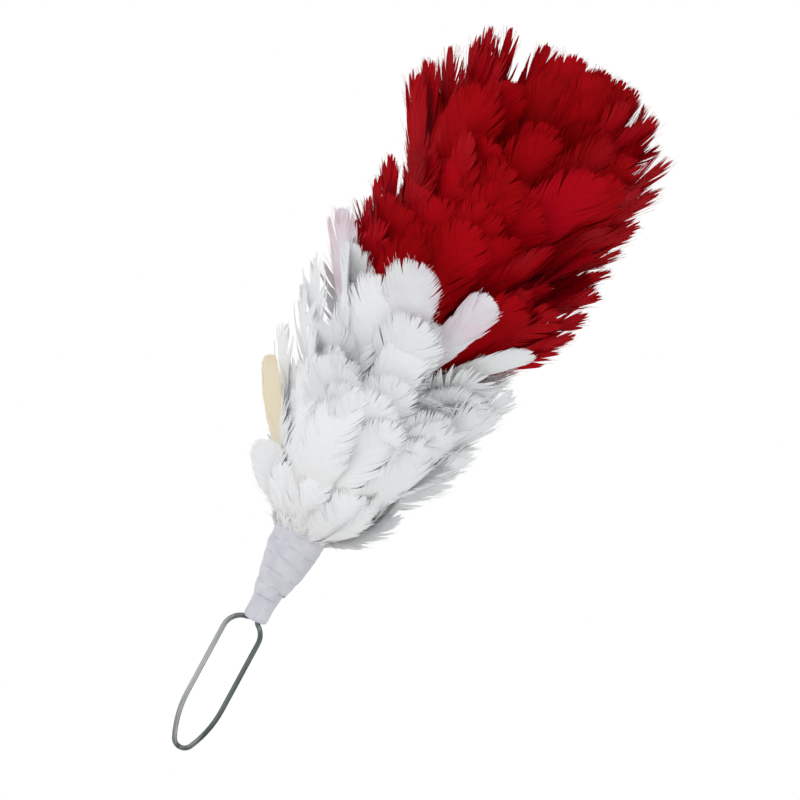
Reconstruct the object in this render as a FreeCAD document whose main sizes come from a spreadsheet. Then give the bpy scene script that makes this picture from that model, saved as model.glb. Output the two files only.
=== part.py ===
import FreeCAD, Part
import math
import os

import Sketcher

# A feather hackle, the upright plume of a military cap. One length of steel wire makes the narrow
# loop at the bottom, which slides behind the cap badge, and its two tails run side by side up the
# middle as the backbone. Rows of feathers are tied to the tails by their quills, white rows below
# and red rows above, and cotton tape is wound over the butts of the lowest quills to make the stem.
# Frame: Z runs up the plume, the loop lies in the XZ plane, and the origin is the stem's lower end.

Vec = FreeCAD.Vector
Con = Sketcher.Constraint
UP = Vec(0, 0, 1)

DIMENSIONS = {
    # wire
    "wire_diameter": 1.22,
    "tail_offset": 0.75,
    "core_top": 118,
    "neck_radius": 1.5,
    "shoulder_drop": 5.2,
    "loop_middle": -1.2,
    "loop_half_width": 4.6,
    "taper_radius": 25.9,
    "nose_radius": 2.4,
    "loop_depth": 35.2,
    # stem
    "fit_gap": 0.08,
    "stem_foot_radius": 2.9,
    "stem_full_radius": 6.1,
    "stem_full_height": 21,
    "stem_length": 23.6,
    "band_length": 5,
    "tape_thickness": 0.45,
    "tape_turns": 5,
    "core_bottom": 1.5,
    "stem_core_top": 22.1,
    # every feather
    "vane_thickness": 0.7,
    "rachis_diameter": 1.0,
    "bend_radius": 2.2,
    # feather rows
    "row_height": 24,
    "row_pitch": 5,
    "row_twist": 26,
    "root_radius": 2.0,
    "calamus": 2.5,
    "spread": 55,
    "open_tip": 18,
    "closed_tip": -8,
    "short_feather": 36,
    "long_feather": 45.5,
    "vane_width": 15,
    "closed_vane_width": 11,
    # skirt of short downy feathers above the tape
    "skirt_root_radius": 4.8,
    "skirt_calamus": 1.5,
    "skirt_spread": 62,
    "skirt_tip": 30,
    "skirt_feather": 20,
    "skirt_vane_width": 9.5,
    # crest of upright feathers at the very top
    "crest_height": 114,
    "crest_spread": 24,
    "crest_tip": -4,
    "crest_feather": 35,
    "crest_vane_width": 8,
    # thread bindings
    "thread_thickness": 0.4,
    "binding_length": 2.2,
}
WHITE_ROWS = 7
RED_ROWS = 11
FIRST_CLOSING_ROW = 13
FIRST_FULL_LENGTH_ROW = 12
FEATHERS_PER_ROW = 7
FEATHERS_PER_CLOSING_ROW = 6
FEATHERS_IN_SKIRT = 9
FEATHERS_IN_CREST = 5
BASE_OF_VANE = 0.3

doc = FreeCAD.newDocument("feather_hackle")
sheet = doc.addObject("Spreadsheet::Sheet", "Dimensions")
for line, (alias, number) in enumerate(DIMENSIONS.items(), start=1):
    sheet.set(f"A{line}", alias)
    sheet.set(f"B{line}", str(number))
    sheet.setAlias(f"B{line}", alias)
doc.recompute()


def dim(alias):
    """The expression that reads one cell."""
    return f"Dimensions.{alias}"


def value(expression):
    """The number that an expression gives now."""
    return float(sheet.evalExpression(expression))


def new_body(label):
    body = doc.addObject("PartDesign::Body", label)
    body.Label = label
    return body


def new_sketch(body, name, role):
    """A sketch on the origin plane of its own body that has this role."""
    sketch = body.newObject("Sketcher::SketchObject", name)
    plane = next(part for part in body.Origin.OriginFeatures if part.Role == role)
    sketch.AttachmentSupport = [(plane, "")]
    sketch.MapMode = "FlatFace"
    return sketch


def bind(sketch, name, constraint, expression):
    """Add a constraint whose size follows an expression."""
    index = sketch.addConstraint(constraint)
    sketch.renameConstraint(index, name)
    sketch.setExpression(f"Constraints.{name}", expression)


def add_polygon(sketch, corners):
    """A closed outline whose corners are pairs of expressions for the distances from the origin."""
    points = [Vec(value(across), value(along), 0) for across, along in corners]
    first = sketch.GeometryCount
    count = len(points)
    for i, point in enumerate(points):
        sketch.addGeometry(Part.LineSegment(point, points[(i + 1) % count]))
    for i, (across, along) in enumerate(corners):
        edge = first + i
        sketch.addConstraint(Con("Coincident", edge, 2, first + (i + 1) % count, 1))
        bind(sketch, f"x{edge}", Con("DistanceX", -1, 1, edge, 1, points[i].x), across)
        bind(sketch, f"y{edge}", Con("DistanceY", -1, 1, edge, 1, points[i].y), along)


def add_circle(sketch, name, across, radius):
    """A circle on the sketch's horizontal axis."""
    centre = Vec(value(across), 0, 0)
    index = sketch.addGeometry(Part.Circle(centre, UP, value(radius)))
    bind(sketch, f"{name}_radius", Con("Radius", index, value(radius)), radius)
    sketch.addConstraint(Con("PointOnObject", index, 3, -1))
    bind(sketch, f"{name}_x", Con("DistanceX", -1, 1, index, 3, centre.x), across)


def revolve(body, name, corners):
    """Turn an outline in the XZ plane once round Z."""
    sketch = new_sketch(body, f"{name}_outline", "XZ_Plane")
    add_polygon(sketch, corners)
    turned = body.newObject("PartDesign::Revolution", name)
    turned.Profile = sketch
    turned.ReferenceAxis = (sketch, ["V_Axis"])
    turned.Angle = 360
    return turned


def pipe_along(body, name, profile, spine):
    pipe = body.newObject("PartDesign::AdditivePipe", name)
    pipe.Profile = profile
    pipe.Spine = (spine, [f"Edge{i + 1}" for i in range(spine.GeometryCount)])
    return pipe


# ---- wire ----------------------------------------------------------------------------------------

def arc(centre, radius, start, end):
    return Part.ArcOfCircle(Part.Circle(centre, UP, radius), start, end)


def wire_spine(body, side):
    """The middle line of one side of the wire: tail, neck, shoulder, strand, taper and half the nose.

    The side is 1 for the strand towards +X and -1 for the other.
    """
    sketch = new_sketch(body, "wire_line", "XZ_Plane")
    tail, middle = side * value(dim("tail_offset")), value(dim("loop_middle"))
    half_width = value(dim("loop_half_width"))
    neck, taper, nose = (value(dim(f"{part}_radius")) for part in ("neck", "taper", "nose"))
    top, drop, depth = value(dim("core_top")), value(dim("shoulder_drop")), value(dim("loop_depth"))
    turn = math.acos(1 - abs(middle + side * half_width - tail) / (half_width + neck))
    lean = math.acos((taper - half_width) / (taper - nose))
    tail_end = Vec(tail, (half_width + neck) * math.sin(turn) - drop, 0)
    strand_top = Vec(middle + side * half_width, -drop, 0)
    strand_end = Vec(strand_top.x, nose - depth + (taper - nose) * math.sin(lean), 0)

    def side_arc(centre, radius, start, end):
        """An arc given for the +X side, mirrored for the other."""
        if side > 0:
            return arc(centre, radius, start, end)
        return arc(centre, radius, math.pi - end, math.pi - start)

    sketch.addGeometry(Part.LineSegment(Vec(tail, top, 0), tail_end))
    sketch.addGeometry(side_arc(tail_end + Vec(side * neck, 0, 0), neck, math.pi, math.pi + turn))
    sketch.addGeometry(side_arc(Vec(middle, -drop, 0), half_width, 0, turn))
    sketch.addGeometry(Part.LineSegment(strand_top, strand_end))
    sketch.addGeometry(side_arc(strand_end - Vec(side * taper, 0, 0), taper, -lean, 0))
    sketch.addGeometry(side_arc(Vec(middle, nose - depth, 0), nose, -math.pi / 2, -lean))
    lower_ends, upper_ends = ((2, 2, 1, 2, 1), (1, 2, 1, 2, 2))
    if side < 0:
        lower_ends, upper_ends = ((2, 1, 2, 2, 2), (2, 1, 1, 1, 1))
    for edge, (its_end, next_end) in enumerate(zip(lower_ends, upper_ends)):
        sketch.addConstraint(Con("Tangent", edge, its_end, edge + 1, next_end))
    sketch.addConstraint(Con("Vertical", 0))
    sketch.addConstraint(Con("Vertical", 3))
    nose_end = 1 if side > 0 else 2
    sketch.addConstraint(Con("Vertical", 5, 3, 5, nose_end))
    strand_x = f"{dim('loop_middle')} + {side} * {dim('loop_half_width')}"
    bind(sketch, "tail_x", Con("DistanceX", -1, 1, 0, 1, tail), f"{side} * {dim('tail_offset')}")
    bind(sketch, "tail_top", Con("DistanceY", -1, 1, 0, 1, top), dim("core_top"))
    bind(sketch, "neck", Con("Radius", 1, neck), dim("neck_radius"))
    bind(sketch, "shoulder", Con("Radius", 2, half_width), dim("loop_half_width"))
    bind(sketch, "strand_x", Con("DistanceX", -1, 1, 3, 1, strand_top.x), strand_x)
    bind(sketch, "strand_top", Con("DistanceY", 3, 1, -1, 1, drop), dim("shoulder_drop"))
    bind(sketch, "taper", Con("Radius", 4, taper), dim("taper_radius"))
    bind(sketch, "nose", Con("Radius", 5, nose), dim("nose_radius"))
    bind(sketch, "nose_x", Con("DistanceX", -1, 1, 5, 3, middle), dim("loop_middle"))
    bind(sketch, "depth", Con("DistanceY", 5, nose_end, -1, 1, depth), dim("loop_depth"))
    return sketch


def make_wire_loop():
    """One bent wire, piped along each of its sides, which meet at the bottom of the nose."""
    body = new_body("wire_loop")
    for side in (1, -1):
        spine = wire_spine(body, side)
        section = new_sketch(body, "wire_section", "XY_Plane")
        section.setExpression(".AttachmentOffset.Base.z", dim("core_top"))
        add_circle(section, "wire", f"{side} * {dim('tail_offset')}", dim("wire_diameter") + " / 2")
        pipe_along(body, "wire_side", section, spine)
        doc.recompute()


# ---- stem ----------------------------------------------------------------------------------------

def stem_radius(height):
    """The stem's outer radius at a height: slim at its foot, then it swells and levels off near its top."""
    foot, full = dim("stem_foot_radius"), dim("stem_full_radius")
    return f"{foot} + ({full} - {foot}) * sin(90 deg * ({height}) / {dim('stem_full_height')}) ^ 2"


def make_end_band():
    """The last turn of tape: a plain band, open inside for the two wires."""
    outside = stem_radius(dim("band_length"))
    wall = dim("tape_thickness")
    revolve(new_body("end_band"), "band", [
        (dim("stem_foot_radius") + f" - {wall}", "0"),
        (dim("stem_foot_radius") + f" - {wall} / 3", "0"),
        (dim("stem_foot_radius"), f"{wall} / 2"),
        (outside, dim("band_length")),
        (outside + f" - {wall}", dim("band_length")),
    ])


def make_stem_tape():
    """The overlapping turns of tape above the end band, each one lapped over the turn above it."""
    band, wall, gap = dim("band_length"), dim("tape_thickness"), dim("fit_gap")
    turns = int(value(dim("tape_turns")))
    heights = [
        f"{band} + {gap} + ({dim('stem_length')} - {band} - {gap}) * {i} / {dim('tape_turns')}"
        for i in range(turns + 1)
    ]
    outside = []
    for i in range(turns):
        outside.append((stem_radius(heights[i]) + f" + {wall} / 2", heights[i]))
        outside.append((stem_radius(heights[i + 1]), heights[i + 1]))
    inside = [(stem_radius(height) + f" - {wall}", height) for height in reversed(heights)]
    revolve(new_body("stem_tape"), "turns_of_tape", outside + inside)


def make_stem_core():
    """The packed butts of the lowest quills: a cone inside the tape with a hole for each tail."""
    body = new_body("stem_core")
    under_tape = f" - {dim('tape_thickness')} - {dim('fit_gap')} * 2"
    bottom, top, steps = dim("core_bottom"), dim("stem_core_top"), 4
    heights = [f"{bottom} + ({top} - {bottom}) * {i} / {steps}" for i in range(steps + 1)]
    side = [(stem_radius(height) + under_tape, height) for height in heights]
    revolve(body, "cone", [("0", bottom)] + side + [("0", top)])
    tails = new_sketch(body, "tail_holes", "XY_Plane")
    hole = f"{dim('wire_diameter')} / 2 + {dim('fit_gap')}"
    add_circle(tails, "right", dim("tail_offset"), hole)
    add_circle(tails, "left", f"-{dim('tail_offset')}", hole)
    doc.recompute()
    holes = body.newObject("PartDesign::Pocket", "tail_pockets")
    holes.Profile = tails
    holes.Type = "ThroughAll"
    holes.Reversed = True


# ---- feathers ------------------------------------------------------------------------------------

def feather_spine(body, shape):
    """The rachis in the XZ plane: straight calamus, bend outwards, then a long curve back upwards."""
    sketch = new_sketch(body, "rachis_line", "XZ_Plane")
    root, calamus, bend = value(shape["root"]), value(shape["calamus"]), value(dim("bend_radius"))
    spread, tip = math.radians(value(shape["spread"])), math.radians(value(shape["tip"]))
    sweep = value(shape["length"]) / (spread - tip)
    outward = Vec(-math.cos(spread), math.sin(spread), 0)
    bend_centre = Vec(root + bend, calamus, 0)
    sweep_centre = bend_centre + outward * (bend + sweep)
    sketch.addGeometry(Part.LineSegment(Vec(root, 0, 0), Vec(root, calamus, 0)))
    sketch.addGeometry(arc(bend_centre, bend, math.pi - spread, math.pi))
    sketch.addGeometry(arc(sweep_centre, sweep, -spread, -tip))
    sketch.addConstraint(Con("Vertical", 0))
    sketch.addConstraint(Con("Tangent", 0, 2, 1, 2))
    sketch.addConstraint(Con("Tangent", 1, 1, 2, 1))
    sketch.addConstraint(Con("PointOnObject", 0, 1, -1))
    turn = f"(({shape['spread']}) - ({shape['tip']}))"
    bind(sketch, "root", Con("DistanceX", -1, 1, 0, 1, root), shape["root"])
    bind(sketch, "calamus", Con("DistanceY", 0, 1, 0, 2, calamus), shape["calamus"])
    bind(sketch, "bend", Con("Radius", 1, bend), dim("bend_radius"))
    bind(sketch, "spread", Con("Angle", 1, spread), f"({shape['spread']}) * 1 deg")
    bind(sketch, "turn", Con("Angle", 2, spread - tip), f"{turn} * 1 deg")
    bind(sketch, "sweep", Con("Radius", 2, sweep), f"({shape['length']}) / ({turn} * pi / 180)")
    height = sweep_centre.y - sweep * math.sin(tip)
    return sketch, height


def vane_cut(body, shape, height):
    """Everything outside the vane's outline, which is a round tip, a narrow base and two tangents."""
    sketch = new_sketch(body, "vane_outline", "YZ_Plane")
    tip_radius, base_radius = value(shape["width"]) / 2, value(shape["width"]) / 5
    tip_height, base_height = height - tip_radius, height * BASE_OF_VANE
    slope = math.asin((tip_radius - base_radius) / (tip_height - base_height))
    across, along = math.cos(slope), math.sin(slope)
    tip_centre, base_centre = Vec(0, tip_height, 0), Vec(0, base_height, 0)
    right, left = Vec(across, -along, 0), Vec(-across, -along, 0)
    sketch.addGeometry(arc(tip_centre, tip_radius, -slope, math.pi + slope))
    sketch.addGeometry(Part.LineSegment(tip_centre + left * tip_radius, base_centre + left * base_radius))
    sketch.addGeometry(arc(base_centre, base_radius, math.pi + slope, -slope + 2 * math.pi))
    sketch.addGeometry(Part.LineSegment(base_centre + right * base_radius, tip_centre + right * tip_radius))
    for edge in range(4):
        sketch.addConstraint(Con("Tangent", edge, 2, (edge + 1) % 4, 1))
    for centre in (0, 2):
        sketch.addConstraint(Con("PointOnObject", centre, 3, -2))
    bind(sketch, "tip_radius", Con("Radius", 0, tip_radius), f"({shape['width']}) / 2")
    bind(sketch, "base_radius", Con("Radius", 2, base_radius), f"({shape['width']}) / 5")
    sketch.addConstraint(Con("DistanceY", -1, 1, 0, 3, tip_height))
    sketch.addConstraint(Con("DistanceY", -1, 1, 2, 3, base_height))
    side, far = shape["width"], f"{height} + 5"
    add_polygon(sketch, [(f"-({side})", "-5"), (side, "-5"), (side, far), (f"-({side})", far)])
    cut = body.newObject("PartDesign::Pocket", "vane")
    cut.Profile = sketch
    cut.Type = "ThroughAll"
    cut.SideType = "Symmetric"
    return cut


def make_feathers(label, shape):
    """One row: a feather made of a curved vane on a round rachis, repeated round the core."""
    body = new_body(label)
    spine, height = feather_spine(body, shape)
    section = new_sketch(body, "vane_section", "XY_Plane")
    half, side = f"{dim('vane_thickness')} / 2", f"({shape['width']}) / 2"
    inner, outer = f"{shape['root']} - {half}", f"{shape['root']} + {half}"
    add_polygon(section, [(inner, f"-{side}"), (outer, f"-{side}"), (outer, side), (inner, side)])
    pipe_along(body, "vane_strip", section, spine)
    doc.recompute()
    vane_cut(body, shape, height)
    doc.recompute()
    stalk = new_sketch(body, "rachis_section", "XY_Plane")
    add_circle(stalk, "rachis", shape["root"], f"{dim('rachis_diameter')} / 2")
    pipe_along(body, "rachis", stalk, spine)
    doc.recompute()
    ring = body.newObject("PartDesign::PolarPattern", "round_the_core")
    ring.TransformMode = "Whole shape"
    ring.Axis = (stalk, ["N_Axis"])
    ring.Angle = 360
    ring.Occurrences = shape["count"]
    body.Tip = ring
    body.setExpression(".Placement.Base.z", shape["height"])
    body.setExpression(".Placement.Rotation.Angle", f"({shape['turn']}) * 1 deg")


def row_shape(row):
    """A row's feathers: longer up the plume, and curled inwards in the last rows, which close it."""
    last = WHITE_ROWS + RED_ROWS - 1
    growth = min(1, row / FIRST_FULL_LENGTH_ROW)
    closing = max(0, (row - FIRST_CLOSING_ROW) / (last - FIRST_CLOSING_ROW))

    def between(start, end, share):
        return f"{dim(start)} + ({dim(end)} - {dim(start)}) * {share}"

    return {
        "height": f"{dim('row_height')} + {dim('row_pitch')} * {row}",
        "turn": f"{dim('row_twist')} * {row}",
        "root": dim("root_radius"),
        "calamus": dim("calamus"),
        "spread": dim("spread"),
        "tip": between("open_tip", "closed_tip", closing),
        "length": between("short_feather", "long_feather", growth),
        "width": between("vane_width", "closed_vane_width", closing),
        "count": FEATHERS_PER_CLOSING_ROW if closing > 0 else FEATHERS_PER_ROW,
    }


def make_binding(label, height, root):
    """A few turns of thread round one row's quills, as a plain ring."""
    body = new_body(label)
    sketch = new_sketch(body, "ring", "XY_Plane")
    inside = f"{root} + {dim('rachis_diameter')} / 2 + {dim('fit_gap')}"
    add_circle(sketch, "inside", "0", inside)
    add_circle(sketch, "outside", "0", f"{inside} + {dim('thread_thickness')}")
    pad = body.newObject("PartDesign::Pad", "thread")
    pad.Profile = sketch
    pad.setExpression("Length", dim("binding_length"))
    body.setExpression(".Placement.Base.z", f"({height}) + {dim('fit_gap')}")


def make_rows():
    for row in range(WHITE_ROWS + RED_ROWS):
        red_row = row - WHITE_ROWS
        name = f"white_row_{row + 1:02d}" if red_row < 0 else f"red_row_{red_row + 1:02d}"
        shape = row_shape(row)
        make_feathers(name, shape)
        make_binding(name.replace("row", "binding"), shape["height"], shape["root"])


def make_skirt():
    make_feathers("downy_skirt", {
        "height": f"{dim('stem_core_top')} + {dim('fit_gap')}",
        "turn": "0",
        "root": dim("skirt_root_radius"),
        "calamus": dim("skirt_calamus"),
        "spread": dim("skirt_spread"),
        "tip": dim("skirt_tip"),
        "length": dim("skirt_feather"),
        "width": dim("skirt_vane_width"),
        "count": FEATHERS_IN_SKIRT,
    })


def make_crest():
    shape = {
        "height": dim("crest_height"),
        "turn": dim("row_twist"),
        "root": dim("root_radius"),
        "calamus": dim("calamus"),
        "spread": dim("crest_spread"),
        "tip": dim("crest_tip"),
        "length": dim("crest_feather"),
        "width": dim("crest_vane_width"),
        "count": FEATHERS_IN_CREST,
    }
    make_feathers("crest", shape)
    make_binding("crest_binding", shape["height"], shape["root"])


def check(solids_wanted):
    """Stop on any failed feature, null or invalid shape, or wrong number of solids."""
    for item in doc.Objects:
        if "Invalid" in item.State or "Error" in item.State:
            raise RuntimeError(f"{item.Label} failed: {item.State}")
    for label, wanted in solids_wanted.items():
        shape = doc.getObjectsByLabel(label)[0].Shape
        if shape.isNull() or not shape.isValid() or len(shape.Solids) != wanted:
            raise RuntimeError(f"{label} is null, invalid or has the wrong number of solids")


make_wire_loop()
make_end_band()
make_stem_tape()
make_stem_core()
make_skirt()
make_rows()
make_crest()
doc.recompute()

bodies = [item for item in doc.Objects if item.TypeId == "PartDesign::Body"]
occurrences = {item.getParentGeoFeatureGroup().Label: item.Occurrences
               for item in doc.Objects if item.TypeId == "PartDesign::PolarPattern"}
check({body.Label: occurrences.get(body.Label, 1) for body in bodies})

os.makedirs("parts", exist_ok=True)
for body in bodies:
    body.Shape.exportStep(f"parts/{body.Label}.step")
    box = body.Shape.BoundBox
    print(f"{body.Label}: {len(body.Shape.Solids)} solids, {body.Shape.Volume:.0f} mm3, "
          f"z {box.ZMin:.1f} to {box.ZMax:.1f}, width {box.XLength:.1f} by {box.YLength:.1f} mm")
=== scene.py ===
import math

import bpy
import numpy as np
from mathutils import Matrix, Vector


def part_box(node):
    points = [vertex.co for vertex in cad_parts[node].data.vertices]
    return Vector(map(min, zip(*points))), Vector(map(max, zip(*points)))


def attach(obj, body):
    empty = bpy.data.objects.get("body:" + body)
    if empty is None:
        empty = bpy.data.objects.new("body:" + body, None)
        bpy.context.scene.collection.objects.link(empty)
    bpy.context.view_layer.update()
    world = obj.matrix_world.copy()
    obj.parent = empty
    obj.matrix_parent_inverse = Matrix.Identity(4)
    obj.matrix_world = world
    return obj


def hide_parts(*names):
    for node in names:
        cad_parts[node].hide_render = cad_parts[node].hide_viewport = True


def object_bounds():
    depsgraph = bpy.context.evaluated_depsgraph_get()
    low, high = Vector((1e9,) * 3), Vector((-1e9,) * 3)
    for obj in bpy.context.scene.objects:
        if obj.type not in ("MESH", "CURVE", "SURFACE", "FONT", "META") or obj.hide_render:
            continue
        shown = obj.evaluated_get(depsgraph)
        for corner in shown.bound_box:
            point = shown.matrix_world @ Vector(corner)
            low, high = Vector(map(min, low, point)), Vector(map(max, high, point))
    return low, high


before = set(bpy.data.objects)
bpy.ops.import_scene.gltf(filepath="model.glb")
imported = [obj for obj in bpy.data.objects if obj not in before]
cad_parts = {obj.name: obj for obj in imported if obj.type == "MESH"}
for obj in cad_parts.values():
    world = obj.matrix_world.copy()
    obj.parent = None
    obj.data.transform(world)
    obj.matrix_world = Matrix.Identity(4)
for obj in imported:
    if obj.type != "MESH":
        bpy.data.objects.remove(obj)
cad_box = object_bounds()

# A feather hackle: white feathers below, dyed red ones above, tied in rows round a steel wire core.
# The CAD rows are plain vanes. Here each row becomes feathers with a rachis, barbs that part into
# clumps, and down at the base, placed from the row's own box. All lengths are in metres.

MM = 0.001
GOLDEN_TURN = math.radians(137.5)
UP = np.array([0, 0, 1])

# ---- the whole plume -----------------------------------------------------------------------------

LEAN = math.tan(math.radians(1.5))   # the plume leans a little to +X of its wire
NECK_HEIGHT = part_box("stem_tape")[1][2]   # the lean starts at the top of the stem
PLUME_TOP = cad_box[1][2]
PLUME_HALF = (cad_box[1][0] - cad_box[0][0]) / 2
TOP_BEND = 3.5 * MM                  # the top bends over this much further
TOP_BEND_FROM = PLUME_TOP - 48 * MM
TOP_BEND_OVER = 45 * MM              # and takes this height to do it


def smooth(x):
    """Ease from 0 to 1."""
    x = np.clip(x, 0, 1)
    return x * x * (3 - 2 * x)


def unit(vectors):
    length = np.linalg.norm(vectors, axis=-1, keepdims=True)
    return vectors / np.maximum(length, 1e-12)


class Tubes:
    """Gathers tapered strands of any section into one mesh, with attributes for the material."""

    def __init__(self):
        self.points, self.quads, self.triangles = [], [], []
        self.tone, self.along = [], []
        self.count = 0

    def add(self, section, tone, along):
        """section is strands x stations x corners x 3; tone and along are strands x stations."""
        strands, stations, corners, _ = section.shape
        index = self.count + np.arange(strands * stations * corners).reshape(strands, stations, corners)
        around = np.roll(index, -1, axis=2)
        quads = np.stack([index[:, :-1], around[:, :-1], around[:, 1:], index[:, 1:]], axis=-1)
        self.quads.append(quads.reshape(-1, 4))
        for end in (index[:, 0, ::-1], index[:, -1]):
            for k in range(1, corners - 1):
                self.triangles.append(np.stack([end[:, 0], end[:, k], end[:, k + 1]], axis=-1))
        self.points.append(section.reshape(-1, 3))
        self.tone.append(np.repeat(tone.reshape(-1), corners))
        self.along.append(np.repeat(along.reshape(-1), corners))
        self.count += strands * stations * corners

    def to_object(self, name, material):
        points = np.concatenate(self.points)
        quads, triangles = np.concatenate(self.quads), np.concatenate(self.triangles)
        mesh = bpy.data.meshes.new(name)
        mesh.vertices.add(len(points))
        mesh.vertices.foreach_set("co", points.astype(np.float32).ravel())
        corners = np.concatenate([quads.ravel(), triangles.ravel()])
        starts = np.concatenate([np.arange(len(quads)) * 4, len(quads) * 4 + np.arange(len(triangles)) * 3])
        mesh.loops.add(len(corners))
        mesh.loops.foreach_set("vertex_index", corners.astype(np.int32))
        mesh.polygons.add(len(starts))
        mesh.polygons.foreach_set("loop_start", starts.astype(np.int32))
        mesh.polygons.foreach_set("use_smooth", np.zeros(len(starts), bool))
        for title, values in (("tone", self.tone), ("along", self.along)):
            layer = mesh.attributes.new(title, "FLOAT", "POINT")
            layer.data.foreach_set("value", np.concatenate(values).astype(np.float32))
        mesh.update(calc_edges=True)
        mesh.validate()
        mesh.materials.append(material)
        piece = bpy.data.objects.new(name, mesh)
        bpy.context.scene.collection.objects.link(piece)
        return piece


class Feather:
    """The middle surface of one feather: an arc from its root to its tip, with a cupped vane."""

    def __init__(self, root, tip, height, foot, azimuth, spread, wild, roll, rng):
        """root and tip are distances from the core, foot and height the levels of the two."""
        rise, reach = height - foot, tip - root
        chord = math.hypot(rise, reach)
        half_turn = spread - math.atan2(reach, rise)
        self.spread, self.turn = spread, 2 * half_turn
        self.length = chord * half_turn / math.sin(half_turn) if abs(half_turn) > 1e-4 else chord
        self.root, self.foot = root, foot
        self.out = np.array([math.sin(azimuth), -math.cos(azimuth), 0])
        self.side = np.array([math.cos(azimuth), math.sin(azimuth), 0])
        self.bow = rng.normal(0, 0.07) * wild
        self.roll = roll + rng.normal(0, 0.35) * wild
        self.twist = rng.normal(0, 0.4) * wild
        self.cup = rng.uniform(6, 18)

    def place(self, along, across, lift):
        """Points at these distances along the rachis, across the vane and off its outer face."""
        share = np.clip(along / self.length, 0, 1)
        angle = self.spread - self.turn * share
        past = along - share * self.length
        if abs(self.turn) > 1e-4:
            radius = self.length / self.turn
            reach = radius * (np.cos(angle) - math.cos(self.spread))
            rise = radius * (math.sin(self.spread) - np.sin(angle))
        else:
            reach, rise = along * math.sin(self.spread), along * math.cos(self.spread)
        reach = reach + past * np.sin(angle)
        rise = rise + past * np.cos(angle)
        normal = np.cos(angle)[..., None] * self.out - np.sin(angle)[..., None] * UP
        roll = (self.roll + self.twist * share)[..., None]
        side = self.side * np.cos(roll) + normal * np.sin(roll)
        normal = normal * np.cos(roll) - self.side * np.sin(roll)
        drop = lift - self.cup * across * across
        bow = self.bow * share * share * self.length
        point = self.out * (self.root + reach)[..., None] + UP * (self.foot + rise)[..., None]
        point = point + side * across[..., None] + self.side * bow[..., None] + normal * drop[..., None]
        return point, side, normal


def strand_sections(centre, face, width, thickness):
    """Flat three-cornered sections along strands: two edges and a ridge on the outer face."""
    heading = unit(np.gradient(centre, axis=1))
    edge = unit(np.cross(heading, face))
    ridge = np.cross(edge, heading)
    left = centre - edge * (width / 2)[..., None]
    right = centre + edge * (width / 2)[..., None]
    top = centre + ridge * thickness[..., None]
    return np.stack([left, right, top], axis=2)


def add_rachis(tubes, feather, shaft, tone):
    stations = 12
    along = np.linspace(0, shaft, stations)[None, :]
    point, side, normal = feather.place(along, np.zeros_like(along), np.zeros_like(along))
    radius = (0.27 * MM * (1 - along / shaft) ** 0.7 + 0.05 * MM)[..., None]
    ring = [point + radius * (side * math.cos(a) + normal * math.sin(a))
            for a in np.arange(6) * math.pi / 3]
    tubes.add(np.stack(ring, axis=2), np.full(along.shape, tone), along / shaft)


def clump_labels(count, rng, mean):
    """Part the barbs of one side into neighbouring clumps of uneven size."""
    labels, label = [], 0
    while len(labels) < count:
        labels += [label] * int(np.clip(rng.gamma(3.0, mean / 3.0), 2, 3 * mean))
        label += 1
    return np.array(labels[:count]), label


def vane_edge(share, base, length, half_width, base_width):
    """The vane's outline on one side: it widens from its base, runs level and ends in a round cap."""
    body = np.clip(share / CAP_FROM, 0, 1)
    cap = np.clip((share - CAP_FROM) / (1 - CAP_FROM), 0, 1) * math.pi / 2
    along = base + 0.3 * half_width + (length - 1.3 * half_width - base) * body + half_width * np.sin(cap)
    across = half_width * (base_width + (1 - base_width) * smooth(share / 0.42)) * np.cos(cap) ** 0.9
    return along, across


def bent_barbs(start, chord_along, chord_across, step, bend):
    """Where barbs that bend towards their chords lie along the rachis and across the vane."""
    forward, outward = chord_along[:, None], chord_across[:, None]
    along = start[:, None] + step * (forward * np.cos(bend) - outward * np.sin(bend))
    across = step * (forward * np.sin(bend) + outward * np.cos(bend))
    return along, across


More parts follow.
